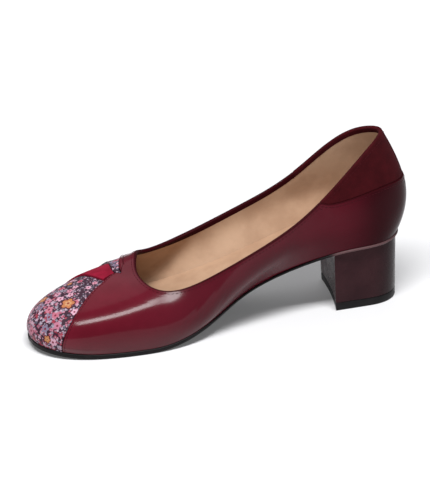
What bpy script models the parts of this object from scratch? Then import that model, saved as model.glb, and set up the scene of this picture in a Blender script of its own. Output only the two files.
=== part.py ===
"""Court shoe for the right foot: a round toe, a low block heel and a fan of panels over the toe.

Lengths are in metres. The toe points to -X, the outer side of the foot is +Y and the floor is Z = 0.
A station is the distance forward from the back of the heel.
"""

import bmesh
import bpy
import numpy as np
from mathutils import Matrix

NAME = "court_shoe"
MM = 0.001

# Driving sizes
LENGTH = 230 * MM
HALF_BALL = 38.6 * MM
HEEL_SEAT = 39.8 * MM
BACK_RISE = 62.8 * MM
WALL = 1.8 * MM
GAP = 0.3 * MM

# Middle of the whole shoe, along it and across it
MIDDLE = 113.7 * MM
MIDDLE_ACROSS = 0.7 * MM

# Sole and insole
SOLE_MARGIN = 0.8 * MM
INSOLE_THICK = 2.0 * MM
INSOLE_INSET = WALL + 2 * GAP

# Heel, at the floor and where it meets the sole
HEEL_HALF = (21.8 * MM, 22.9 * MM)
HEEL_BREAST = (46.8 * MM, 48.6 * MM)
HEEL_BACK = (3.2 * MM, 3.2 * MM)
HEEL_BOW = (0.87, 0.95)
HEEL_TURN = 26 * MM
HEEL_ACROSS = -0.8 * MM
BREAST_HOLLOW = 1.2 * MM
BREAST_SKEW = 6.8 * MM
TOP_PIECE = 5.0 * MM

# Panels lie on the upper with this much air under them and between them
PANEL_LIFT = 0.5 * MM
PANEL_SPACE = 0.4 * MM
PANEL_THICK = 1.0 * MM
BAND_THICK = 1.3 * MM
CUFF_THICK = 0.8 * MM

# Underside of the sole: station as a share of LENGTH, height as a share of HEEL_SEAT, slope, thickness in mm
SOLE_COLUMNS = ("at", "height", "slope", "thick")
SOLE_ROWS = (
    ("heel_back", 0.000, 1.000, -0.01, 1.6),
    ("heel_breast", 0.209, 0.937, -0.24, 1.6),
    ("waist", 0.461, 0.426, -0.385, 1.8),
    ("ball", 0.722, 0.000, 0.00, 2.8),
    ("tread", 0.843, 0.000, 0.00, 2.9),
    ("toe", 1.000, 0.090, 0.16, 2.8),
)

# Girth sections in order round the shoe, from the toe along the inner side to the heel and back.
# sole_at and top_at: hundredths of LENGTH. side and top_side: hundredths of HALF_BALL.
# rise: hundredths of BACK_RISE above the sole. flare, wall, lean and drop: mm.
# Each section leaves the sole edge along (flare out, wall up) and meets the topline along (lean in, drop up).
SECTION_COLUMNS = ("sole_at", "side", "flare", "wall", "top_at", "top_side", "rise", "lean", "drop")
SECTION_ROWS = (
    ("toe_tip", 99.4, -24.6, 4.8, 19.8, 71.4, -15.0, 53.7, 37.8, 6.2),
    ("toe_inner", 95.0, -67.9, 4.0, 18.5, 70.9, -49.2, 51.1, 26.0, 8.3),
    ("ball_inner", 75.2, -100.0, 4.0, 14.0, 64.6, -74.1, 43.4, 9.0, 8.0),
    ("instep_inner", 56.3, -83.9, 5.0, 11.0, 52.2, -83.7, 44.7, 3.5, 10.0),
    ("waist_inner", 42.2, -49.7, 9.0, 11.5, 38.0, -80.8, 47.5, 2.0, 12.0),
    ("heel_inner", 18.3, -66.6, 6.0, 18.0, 23.2, -66.3, 62.2, 3.0, 18.0),
    ("back_inner", 4.6, -49.5, 5.0, 16.0, 9.7, -39.4, 92.5, 8.9, 26.5),
    ("back", 0.9, -4.4, 8.6, 14.0, 5.2, -2.6, 97.7, 17.5, 30.2),
    ("back_outer", 4.7, 44.0, 5.0, 16.0, 9.7, 34.7, 91.1, 8.6, 26.3),
    ("heel_outer", 18.3, 63.0, 6.0, 18.0, 23.0, 63.0, 58.6, 3.0, 18.0),
    ("waist_outer", 41.3, 67.4, 5.5, 11.5, 38.3, 80.8, 42.1, 2.0, 12.0),
    ("instep_outer", 55.9, 86.8, 4.5, 11.0, 52.2, 82.9, 41.5, 3.5, 10.0),
    ("ball_outer", 70.9, 99.7, 4.0, 14.0, 64.4, 63.7, 49.1, 11.0, 8.0),
    ("toe_outer", 95.7, 35.8, 3.8, 16.3, 69.8, 23.3, 58.4, 25.7, 9.8),
)

# Lines between the toe panels. Each fans down the upper from its hub to the sole edge.
# hub: share up the upper. hub_turn and edge_turn: turns round the shoe at the hub and at the sole edge.
# bend: how late the line swings from one turn to the other.
LINE_COLUMNS = ("hub", "hub_turn", "edge_turn", "bend")
LINE_ROWS = {
    "inner_edge": (0.820, 0.0030, 0.0415, 2.1),
    "cap_to_suede": (0.820, 0.0013, -0.0660, 3.2),
    "suede_to_band": (0.890, -0.0080, -0.0900, 6.5),
    "band_to_vamp": (0.925, -0.0040, -0.1150, 11.0),
    "vamp_seam": (0.935, -0.0250, -0.1500, 8.0),
}
PANEL_FOOT = 0.035

# Cuff: turns either side of the back, and shares up the upper. Its lower edge rises to its points.
CUFF_REACH = 0.138
CUFF_LOW = 0.635
CUFF_POINT = 0.965
CUFF_TOP = 0.99
CUFF_BEND = 3.2

COLOURS = {
    "smooth_leather": ((0.085, 0.014, 0.022), 0.35),
    "printed_leather": ((0.230, 0.120, 0.160), 0.55),
    "red_suede": ((0.260, 0.020, 0.038), 0.85),
    "dark_suede": ((0.050, 0.010, 0.015), 0.90),
    "sole_rubber": ((0.012, 0.010, 0.011), 0.65),
    "heel_leather": ((0.060, 0.018, 0.022), 0.45),
    "sock_leather": ((0.420, 0.270, 0.170), 0.70),
}


def smooth_run(stations, heights, slopes, at):
    """Cubic line through heights with given slopes at the stations."""
    span = np.clip(np.searchsorted(stations, at, side="right") - 1, 0, len(stations) - 2)
    width = stations[span + 1] - stations[span]
    u = (at - stations[span]) / width
    value = heights[span] * (1 + 2 * u) * (1 - u) ** 2
    value += heights[span + 1] * u**2 * (3 - 2 * u)
    value += slopes[span] * width * u * (1 - u) ** 2
    value += slopes[span + 1] * width * u**2 * (u - 1)
    return value


def ring_curve(knots, rows):
    """Smooth closed curve through rows of values; the turn goes once round from 0 to 1."""
    count = len(knots)
    gaps = np.diff(np.append(knots, 1.0))
    system = np.zeros((count, count))
    right = np.zeros_like(rows)
    for i in range(count):
        before = (i - 1) % count
        after = (i + 1) % count
        system[i, before] += gaps[before]
        system[i, i] += 2 * (gaps[before] + gaps[i])
        system[i, after] += gaps[i]
        right[i] = 6 * ((rows[after] - rows[i]) / gaps[i] - (rows[i] - rows[before]) / gaps[before])
    bend = np.linalg.solve(system, right)

    def at(turn):
        turn = np.mod(turn, 1.0)
        i = np.clip(np.searchsorted(knots, turn, side="right") - 1, 0, count - 1)
        after = (i + 1) % count
        gap = gaps[i][:, None]
        ahead = (turn - knots[i])[:, None]
        behind = gap - ahead
        value = (bend[i] * behind**3 + bend[after] * ahead**3) / (6 * gap)
        value += (rows[i] / gap - bend[i] * gap / 6) * behind
        value += (rows[after] / gap - bend[after] * gap / 6) * ahead
        return value

    return at


SOLE = dict(zip(SOLE_COLUMNS, np.array([row[1:] for row in SOLE_ROWS]).T))


def sole_under(at):
    """Height of the underside of the sole at a station."""
    return smooth_run(SOLE["at"] * LENGTH, SOLE["height"] * HEEL_SEAT, SOLE["slope"], at)


def sole_over(at):
    """Height of the upper face of the sole at a station."""
    return sole_under(at) + np.interp(at, SOLE["at"] * LENGTH, SOLE["thick"] * MM)


def section_table():
    """The girth sections in metres, the rise of the topline turned into its height."""
    columns = dict(zip(SECTION_COLUMNS, np.array([row[1:] for row in SECTION_ROWS]).T))
    for name in ("sole_at", "top_at"):
        columns[name] = columns[name] * LENGTH / 100
    for name in ("side", "top_side"):
        columns[name] = columns[name] * HALF_BALL / 100
    for name in ("flare", "wall", "lean", "drop"):
        columns[name] = columns[name] * MM
    columns["rise"] = columns["rise"] * BACK_RISE / 100 + sole_over(columns["top_at"]) + GAP
    return np.column_stack([columns[name] for name in SECTION_COLUMNS])


def section_turns(table):
    """Turn of each section, spaced by the mean run of the sole edge and of the topline."""
    edge = np.linalg.norm(np.roll(table[:, 0:2], -1, axis=0) - table[:, 0:2], axis=1)
    top = np.linalg.norm(np.roll(table[:, 4:7], -1, axis=0) - table[:, 4:7], axis=1)
    step = (edge / edge.sum() + top / top.sum()) / 2
    return np.concatenate([[0.0], np.cumsum(step)[:-1]])


SECTIONS = section_table()
TURNS = section_turns(SECTIONS)
BACK_TURN = TURNS[[row[0] for row in SECTION_ROWS].index("back")]
section_at = ring_curve(TURNS, SECTIONS)


def outward(turn, column):
    """Level direction out of the shoe, square to the curve held in column and the next one."""
    run = (section_at(turn + 1e-4) - section_at(turn - 1e-4))[:, column:column + 2]
    across = np.column_stack([-run[:, 1], run[:, 0]])
    return across / np.linalg.norm(across, axis=1, keepdims=True)


def place(station, across, height):
    """Points of the shoe in the shared frame."""
    return np.column_stack([MIDDLE - station, across - MIDDLE_ACROSS, height])


def upper_face(turn, share):
    """Outer face of the upper; share runs from the sole edge (0) to the topline (1)."""
    row = section_at(turn)
    low = np.column_stack([row[:, 0:2], sole_over(row[:, 0]) + GAP])
    top = row[:, 4:7]
    low_pull = low + np.column_stack([outward(turn, 0) * row[:, 2:3], row[:, 3]])
    top_pull = top + np.column_stack([outward(turn, 4) * row[:, 7:8], -row[:, 8]])
    u = share[:, None]
    w = 1 - u
    point = w**3 * low + 3 * w**2 * u * low_pull + 3 * w * u**2 * top_pull + u**3 * top
    return place(point[:, 0], point[:, 1], point[:, 2])


def upper_point(turn, share, lift):
    """Point off the outer face of the upper, moved square to it by lift."""
    step = 1e-3
    low = np.maximum(share - step, 0.0)
    high = np.minimum(share + step, 1.0)
    round_run = upper_face(turn + step, share) - upper_face(turn - step, share)
    up_run = upper_face(turn, high) - upper_face(turn, low)
    normal = np.cross(round_run, up_run)
    normal /= np.linalg.norm(normal, axis=1, keepdims=True)
    return upper_face(turn, share) + normal * lift[:, None]


def sole_outline(turn, margin):
    """Sole edge in plan, moved out by margin."""
    return section_at(turn)[:, 0:2] + outward(turn, 0) * margin


def rung(along, across, margin):
    """Point in plan on a rung from the inner to the outer sole edge; along runs from the toe to the heel."""
    ease = (1 - np.cos(np.pi * along)) / 2
    inner = sole_outline(BACK_TURN * ease, margin)
    outer = sole_outline(1 - (1 - BACK_TURN) * ease, margin)
    return inner + (outer - inner) * across[:, None]


def shape_upper(a, b, c):
    return upper_point(a, b, (c - 1) * WALL)


def shape_outsole(a, b, c):
    plan = rung(a, b, SOLE_MARGIN)
    low = sole_under(plan[:, 0])
    high = sole_over(plan[:, 0])
    return place(plan[:, 0], plan[:, 1], low + (high - low) * c)


def shape_insole(a, b, c):
    plan = rung(a, b, -INSOLE_INSET)
    return place(plan[:, 0], plan[:, 1], sole_over(plan[:, 0]) + GAP + INSOLE_THICK * c)


def heel_plan(a, b, level):
    """Heel outline in plan, from the breast (a = 0) to the back; level 0 is the floor, 1 the seat."""
    ends = (HEEL_HALF, HEEL_BREAST, HEEL_BACK, HEEL_BOW)
    half, breast, back, bow = (low + (high - low) * level for low, high in ends)
    straight = np.clip(a / 0.4, 0, 1)
    turn = np.clip((a - 0.4) / 0.6, 0, 1) * np.pi / 2
    side = 2 * b - 1
    hollow = BREAST_HOLLOW * (1 - side**2) + BREAST_SKEW * b
    start = breast - hollow
    station = start + (HEEL_TURN - start) * straight
    station -= (HEEL_TURN - back) * np.sin(turn) ** bow
    across = HEEL_ACROSS + half * np.maximum(np.cos(turn), 0) ** bow * side
    return station, across


def shape_heel_block(a, b, c):
    start = TOP_PIECE / HEEL_SEAT
    station, across = heel_plan(a, b, start + (1 - start) * c)
    low = TOP_PIECE + GAP
    return place(station, across, low + (sole_under(station) - GAP - low) * c)


def shape_top_piece(a, b, c):
    station, across = heel_plan(a, b, TOP_PIECE / HEEL_SEAT * c)
    return place(station, across, TOP_PIECE * c)


def line_point(name, share):
    """Turn and share up the upper on a panel line; share runs from the sole edge (0) to the hub (1)."""
    line = dict(zip(LINE_COLUMNS, LINE_ROWS[name]))
    swing = line["hub_turn"] - line["edge_turn"]
    return line["edge_turn"] + swing * share ** line["bend"], line["hub"] * share


def panel_shape(first, second, thick):
    """Panel between two lines, standing off the upper."""

    def shape(a, b, c):
        up = PANEL_FOOT + (1 - PANEL_FOOT) * b * (2 - b)
        first_turn, first_up = line_point(first, up)
        second_turn, second_up = line_point(second, up)
        width = np.linalg.norm(upper_face(second_turn, second_up) - upper_face(first_turn, first_up), axis=1)
        edge = np.minimum(PANEL_SPACE / 2 / width, 0.4)
        across = edge + (1 - 2 * edge) * a
        turn = first_turn + (second_turn - first_turn) * across
        share = first_up + (second_up - first_up) * across
        return upper_point(turn, share, PANEL_LIFT + thick * c)

    return shape


def shape_cuff(a, b, c):
    side = 2 * a - 1
    low = CUFF_LOW + (CUFF_POINT - CUFF_LOW) * np.abs(side) ** CUFF_BEND
    return upper_point(BACK_TURN + CUFF_REACH * side, low + (CUFF_TOP - low) * b, PANEL_LIFT + CUFF_THICK * c)


def material(name):
    colour, rough = COLOURS[name]
    made = bpy.data.materials.get(name) or bpy.data.materials.new(name)
    made.use_nodes = True
    shader = made.node_tree.nodes["Principled BSDF"]
    shader.inputs["Base Color"].default_value = (*colour, 1.0)
    shader.inputs["Roughness"].default_value = rough
    made.diffuse_color = (*colour, 1.0)
    return made


def solid(name, cells, shape, finish, ring=False):
    """A cube cut into cells, with every corner moved by shape; a ring joins its two ends."""
    mesh = bpy.data.meshes.new(name)
    bm = bmesh.new()
    bmesh.ops.create_cube(bm, size=1.0, matrix=Matrix.Translation((0.5, 0.5, 0.5)))
    for axis, count in enumerate(cells):
        normal = [0.0, 0.0, 0.0]
        normal[axis] = 1.0
        for step in range(1, count):
            spot = [value * step / count for value in normal]
            whole = bm.verts[:] + bm.edges[:] + bm.faces[:]
            bmesh.ops.bisect_plane(bm, geom=whole, dist=1e-7, plane_co=spot, plane_no=normal)
    if ring:
        ends = [face for face in bm.faces if abs(face.normal.x) > 0.5]
        bmesh.ops.delete(bm, geom=ends, context="FACES")
    corners = np.array([vert.co for vert in bm.verts])
    for vert, spot in zip(bm.verts, shape(*corners.T)):
        vert.co = spot
    bmesh.ops.remove_doubles(bm, verts=bm.verts, dist=0.02 * MM)
    bmesh.ops.recalc_face_normals(bm, faces=bm.faces)
    bm.to_mesh(mesh)
    bm.free()
    mesh.materials.append(material(finish))
    return bpy.data.objects.new(name, mesh)


def build():
    for item in list(bpy.data.objects):
        bpy.data.objects.remove(item, do_unlink=True)
    group = bpy.data.collections.new(NAME)
    bpy.context.scene.collection.children.link(group)
    root = bpy.data.objects.new(NAME + "_root", None)
    group.objects.link(root)
    cap = panel_shape("cap_to_suede", "inner_edge", PANEL_THICK)
    suede = panel_shape("suede_to_band", "cap_to_suede", BAND_THICK)
    band = panel_shape("band_to_vamp", "suede_to_band", PANEL_THICK)
    vamp = panel_shape("vamp_seam", "band_to_vamp", PANEL_THICK)
    pieces = (
        solid("upper", (96, 12, 1), shape_upper, "smooth_leather", ring=True),
        solid("outsole", (48, 4, 1), shape_outsole, "sole_rubber"),
        solid("insole", (36, 3, 1), shape_insole, "sock_leather"),
        solid("heel_block", (18, 4, 3), shape_heel_block, "heel_leather"),
        solid("heel_top_piece", (18, 4, 1), shape_top_piece, "sole_rubber"),
        solid("toe_cap", (16, 18, 1), cap, "printed_leather"),
        solid("suede_band", (5, 26, 1), suede, "red_suede"),
        solid("floral_band", (5, 26, 1), band, "printed_leather"),
        solid("vamp_panel", (6, 26, 1), vamp, "smooth_leather"),
        solid("heel_cuff", (36, 6, 1), shape_cuff, "dark_suede"),
    )
    for piece in pieces:
        group.objects.link(piece)
        piece.parent = root


build()
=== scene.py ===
# %% [markdown]
# # A court shoe for the right foot
#
# The imported model holds the shoe as ten plain solids. This lesson dresses them: each solid that
# has to look soft is replaced by a finer mesh made from the same sizes, and every surface gets a
# finish made of shader nodes. Loading comes first.

# %% Load the imported shoe
import math

import bmesh
import bpy
import numpy as np
from mathutils import Matrix, Vector


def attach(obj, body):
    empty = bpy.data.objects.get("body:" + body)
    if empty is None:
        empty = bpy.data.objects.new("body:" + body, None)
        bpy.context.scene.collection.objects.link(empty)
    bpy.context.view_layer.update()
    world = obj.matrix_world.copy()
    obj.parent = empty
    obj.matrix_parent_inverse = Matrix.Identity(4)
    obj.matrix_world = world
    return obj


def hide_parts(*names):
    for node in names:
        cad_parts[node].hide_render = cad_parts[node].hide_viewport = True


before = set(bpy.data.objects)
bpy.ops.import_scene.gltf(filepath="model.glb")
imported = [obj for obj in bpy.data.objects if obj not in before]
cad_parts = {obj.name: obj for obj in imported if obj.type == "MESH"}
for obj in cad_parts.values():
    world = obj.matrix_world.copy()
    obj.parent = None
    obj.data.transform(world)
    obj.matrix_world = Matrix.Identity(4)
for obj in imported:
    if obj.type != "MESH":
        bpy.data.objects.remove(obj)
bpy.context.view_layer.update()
MM = 0.001
BODY = "root"
print("solids:", ", ".join(sorted(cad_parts)))

# %% [markdown]
# ## The camera
#
# The shoe is seen from its inner side, a little from the front and from above, through a long
# lens. A camera could be pointed with a constraint, but three unit vectors built from two angles
# and a small roll say the same thing plainly. The lens is long because the two edges of the sole
# run almost parallel in the picture.

# %% Place the camera
def linked(name, data):
    """A new object in the scene."""
    made = bpy.data.objects.new(name, data)
    bpy.context.scene.collection.objects.link(made)
    return made


AZIMUTH = math.radians(-17.75)
ELEVATION = math.radians(24.8)
ROLL = math.radians(-0.8)
DISTANCE = 1.5
LENS = 215.06
AIM = Vector((-5.3, -0.7, 45.0)) * MM
AIM_SHIFT = (4.53 * MM, 0.88 * MM)

back = Vector((
    math.sin(AZIMUTH) * math.cos(ELEVATION),
    -math.cos(AZIMUTH) * math.cos(ELEVATION),
    math.sin(ELEVATION),
))
level = Vector((math.cos(AZIMUTH), math.sin(AZIMUTH), 0.0))
upright = back.cross(level)
right = level * math.cos(ROLL) + upright * math.sin(ROLL)
up = upright * math.cos(ROLL) - level * math.sin(ROLL)
aim = AIM + right * AIM_SHIFT[0] + up * AIM_SHIFT[1]
eye = aim + back * DISTANCE

lens = bpy.data.cameras.new("photo_view")
lens.lens = LENS
lens.sensor_width = 36.0
lens.sensor_fit = "HORIZONTAL"
camera = linked("photo_view", lens)
camera.matrix_world = Matrix((
    (right.x, up.x, back.x, eye.x),
    (right.y, up.y, back.y, eye.y),
    (right.z, up.z, back.z, eye.z),
    (0.0, 0.0, 0.0, 1.0),
))
bpy.context.scene.camera = camera
print("camera at", [round(value, 3) for value in eye])

# %% [markdown]
# ## The last
#
# A shoe is drawn over a last, so the sole line, the edge of the sole and the topline give its
# form. A station is the distance forward from the back of the heel. The side view of the sole is
# a short table of heights and slopes, joined by cubic runs, so that the waist flows from the heel
# seat to the flat tread without a kink.

# %% Heights of the sole
LENGTH = 230 * MM
HALF_BALL = 38.6 * MM
HEEL_SEAT = 39.8 * MM
BACK_RISE = 62.8 * MM
GAP = 0.3 * MM
MIDDLE = 113.7 * MM
MIDDLE_ACROSS = 0.7 * MM

# station as a share of LENGTH, height as a share of HEEL_SEAT, slope, thickness in mm
SOLE_ROWS = np.array((
    (0.000, 1.000, -0.01, 1.6),
    (0.209, 0.937, -0.24, 1.6),
    (0.461, 0.426, -0.385, 1.8),
    (0.722, 0.000, 0.00, 2.8),
    (0.843, 0.000, 0.00, 2.9),
    (1.000, 0.090, 0.16, 2.8),
))
SOLE_STATIONS = SOLE_ROWS[:, 0] * LENGTH


def sole_under(at):
    """Height of the underside of the sole at a station."""
    heights = SOLE_ROWS[:, 1] * HEEL_SEAT
    slopes = SOLE_ROWS[:, 2]
    before = np.searchsorted(SOLE_STATIONS, at, side="right") - 1
    span = np.clip(before, 0, len(SOLE_STATIONS) - 2)
    width = SOLE_STATIONS[span + 1] - SOLE_STATIONS[span]
    u = (at - SOLE_STATIONS[span]) / width
    value = heights[span] * (1 + 2 * u) * (1 - u) ** 2
    value += heights[span + 1] * u**2 * (3 - 2 * u)
    value += slopes[span] * width * u * (1 - u) ** 2
    value += slopes[span + 1] * width * u**2 * (u - 1)
    return value


def sole_over(at):
    """Height of the upper face of the sole at a station."""
    return sole_under(at) + np.interp(at, SOLE_STATIONS, SOLE_ROWS[:, 3] * MM)


for share in (0.0, 0.3, 0.7):
    height = sole_under(np.array([share * LENGTH]))[0]
    print(f"sole at {share:.1f} of the length: {height / MM:.1f} mm up")

# %% [markdown]
# ## Sections round the upper
#
# Each row below is one section of the upper, from the sole edge to the topline, in order round
# the shoe: along the inner side to the heel and back along the outer side. A section is a cubic
# curve, which leaves the sole outwards and reaches the topline leaning in. A closed spline
# through the rows fills in the sections between them, so one point of the upper is given by two
# numbers: the turn round the shoe and the share of the way up.

# %% Read the sections
# at the sole edge: hundredths of LENGTH and of HALF_BALL, then the pull outwards and upwards in mm;
# at the topline: hundredths of LENGTH, of HALF_BALL and of BACK_RISE above the sole,
# then the pull outwards and downwards in mm
EDGE_AT, EDGE_SIDE, EDGE_OUT, EDGE_UP, TOP_AT, TOP_SIDE, TOP_RISE, TOP_OUT, TOP_DOWN = range(9)
EDGE = [EDGE_AT, EDGE_SIDE]
TOP = [TOP_AT, TOP_SIDE]
TOP_POINT = [TOP_AT, TOP_SIDE, TOP_RISE]
SECTION_ROWS = (
    ("toe_tip", 99.4, -24.6, 4.8, 19.8, 71.4, -15.0, 53.7, 37.8, 6.2),
    ("toe_inner", 95.0, -67.9, 4.0, 18.5, 70.9, -49.2, 51.1, 26.0, 8.3),
    ("ball_inner", 75.2, -100.0, 4.0, 14.0, 64.6, -74.1, 43.4, 9.0, 8.0),
    ("instep_inner", 56.3, -83.9, 5.0, 11.0, 52.2, -83.7, 44.7, 3.5, 10.0),
    ("waist_inner", 42.2, -49.7, 9.0, 11.5, 38.0, -80.8, 47.5, 2.0, 12.0),
    ("heel_inner", 18.3, -66.6, 6.0, 18.0, 23.2, -66.3, 62.2, 3.0, 18.0),
    ("back_inner", 4.6, -49.5, 5.0, 16.0, 9.7, -39.4, 92.5, 8.9, 26.5),
    ("back", 0.9, -4.4, 8.6, 14.0, 5.2, -2.6, 97.7, 17.5, 30.2),
    ("back_outer", 4.7, 44.0, 5.0, 16.0, 9.7, 34.7, 91.1, 8.6, 26.3),
    ("heel_outer", 18.3, 63.0, 6.0, 18.0, 23.0, 63.0, 58.6, 3.0, 18.0),
    ("waist_outer", 41.3, 67.4, 5.5, 11.5, 38.3, 80.8, 42.1, 2.0, 12.0),
    ("instep_outer", 55.9, 86.8, 4.5, 11.0, 52.2, 82.9, 41.5, 3.5, 10.0),
    ("ball_outer", 70.9, 99.7, 4.0, 14.0, 64.4, 63.7, 49.1, 11.0, 8.0),
    ("toe_outer", 95.7, 35.8, 3.8, 16.3, 69.8, 23.3, 58.4, 25.7, 9.8),
)
SECTION_UNITS = np.array((
    LENGTH / 100, HALF_BALL / 100, MM, MM,
    LENGTH / 100, HALF_BALL / 100, BACK_RISE / 100, MM, MM,
))
SECTIONS = np.array([row[1:] for row in SECTION_ROWS]) * SECTION_UNITS
SECTIONS[:, TOP_RISE] += sole_over(SECTIONS[:, TOP_AT]) + GAP


def run_shares(columns):
    """Share of the way round that lies between each section and the next."""
    points = SECTIONS[:, columns]
    run = np.linalg.norm(np.roll(points, -1, axis=0) - points, axis=1)
    return run / run.sum()


turn_step = (run_shares(EDGE) + run_shares(TOP_POINT)) / 2
SECTION_TURNS = np.concatenate([[0.0], np.cumsum(turn_step)[:-1]])
TURN_OF = {row[0]: turn for row, turn in zip(SECTION_ROWS, SECTION_TURNS)}
print({name: round(float(turn), 3) for name, turn in TURN_OF.items()})

# %% Join the sections into one closed spline
def ring_curve(knots, rows):
    """Smooth closed curve through rows of values; the turn goes once round from 0 to 1."""
    count = len(knots)
    gaps = np.diff(np.append(knots, 1.0))
    system = np.zeros((count, count))
    target = np.zeros_like(rows)
    for i in range(count):
        before = (i - 1) % count
        after = (i + 1) % count
        system[i, before] += gaps[before]
        system[i, i] += 2 * (gaps[before] + gaps[i])
        system[i, after] += gaps[i]
        ahead = (rows[after] - rows[i]) / gaps[i]
        behind = (rows[i] - rows[before]) / gaps[before]
        target[i] = 6 * (ahead - behind)
    bend = np.linalg.solve(system, target)

    def at(turn):
        turn = np.mod(turn, 1.0)
        i = np.clip(np.searchsorted(knots, turn, side="right") - 1, 0, count - 1)
        after = (i + 1) % count
        gap = gaps[i][:, None]
        ahead = (turn - knots[i])[:, None]
        behind = gap - ahead
        value = (bend[i] * behind**3 + bend[after] * ahead**3) / (6 * gap)
        value += (rows[i] / gap - bend[i] * gap / 6) * behind
        value += (rows[after] / gap - bend[after] * gap / 6) * ahead
        return value

    return at


section_at = ring_curve(SECTION_TURNS, SECTIONS)


def outward(turn, columns):
    """Level direction out of the shoe, square to the sole edge or to the topline."""
    step = 1e-4
    run = (section_at(turn + step) - section_at(turn - step))[:, columns]
    across = np.column_stack([-run[:, 1], run[:, 0]])
    return across / np.linalg.norm(across, axis=1, keepdims=True)


def place(station, across, height):
    """Points of the shoe in the shared frame."""
    return np.column_stack([MIDDLE - station, across - MIDDLE_ACROSS, height])


def upper_face(turn, share):
    """Outer face of the upper; share runs from the sole edge (0) to the topline (1)."""
    row = section_at(turn)
    low = np.column_stack([row[:, EDGE], sole_over(row[:, EDGE_AT]) + GAP])
    top = row[:, TOP_POINT]
    low_out = outward(turn, EDGE) * row[:, EDGE_OUT, None]
    top_out = outward(turn, TOP) * row[:, TOP_OUT, None]
    low_pull = low + np.column_stack([low_out, row[:, EDGE_UP]])
    top_pull = top + np.column_stack([top_out, -row[:, TOP_DOWN]])
    u = share[:, None]
    w = 1 - u
    point = w**3 * low + 3 * w**2 * u * low_pull + 3 * w * u**2 * top_pull + u**3 * top
    return place(point[:, 0], point[:, 1], point[:, 2])


def unit(vectors):
    return vectors / np.maximum(np.linalg.norm(vectors, axis=-1, keepdims=True), 1e-12)


def on_upper(turn, share, lift=0.0, rise=0.0):
    """Points near the upper, moved square to its face by lift and up along it by rise."""
    given = [np.array(value, dtype=float) for value in np.broadcast_arrays(turn, share, lift, rise)]
    shape = given[0].shape
    turn, share, lift, rise = (value.ravel() for value in given)
    step = 1e-3
    high = np.minimum(share + step, 1.0)
    low = np.maximum(share - step, 0.0)
    round_run = upper_face(turn + step, share) - upper_face(turn - step, share)
    up_run = unit(upper_face(turn, high) - upper_face(turn, low))
    normal = unit(np.cross(round_run, up_run))
    points = upper_face(turn, share) + normal * lift[:, None] + up_run * rise[:, None]
    return points.reshape(shape + (3,))


toe_point = on_upper(0.0, 0.0)
print("toe at", np.round(toe_point / MM, 1), "mm")

# %% [markdown]
# ## Shader maths in sums
#
# A finish is a tree of nodes, and a tree is easier to read as a sum than as a list of links. The
# small class below wraps one socket, so that `1 - mask * 0.5` adds the Math nodes by itself.
# Colours and vectors have their own nodes, which all come from one method: it takes the node's
# type, its settings, and what its sockets are given.

# %% A class for sockets
class Socket:
    """One output of a node; sums and products of sockets become Math nodes."""

    def __init__(self, finish, output):
        self.finish = finish
        self.output = output

    def maths(self, operation, first, second=0.0):
        return self.finish.node("ShaderNodeMath", {"operation": operation}, {0: first, 1: second})

    def __add__(self, other):
        return self.maths("ADD", self, other)

    def __sub__(self, other):
        return self.maths("SUBTRACT", self, other)

    def __rsub__(self, other):
        return self.maths("SUBTRACT", other, self)

    def __mul__(self, other):
        return self.maths("MULTIPLY", self, other)

    def __gt__(self, other):
        return self.maths("GREATER_THAN", self, other)

    __radd__ = __add__
    __rmul__ = __mul__

    def cosine(self):
        return self.maths("COSINE", self)

    def size(self):
        return self.maths("ABSOLUTE", self)

    def ease(self, start, end, low=0.0, high=1.0):
        """Smooth step from low at start to high at end."""
        limits = {"From Min": start, "From Max": end, "To Min": low, "To Max": high}
        settings = {"interpolation_type": "SMOOTHSTEP"}
        return self.finish.node("ShaderNodeMapRange", settings, {"Value": self, **limits})


print("sockets can be summed")

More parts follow.
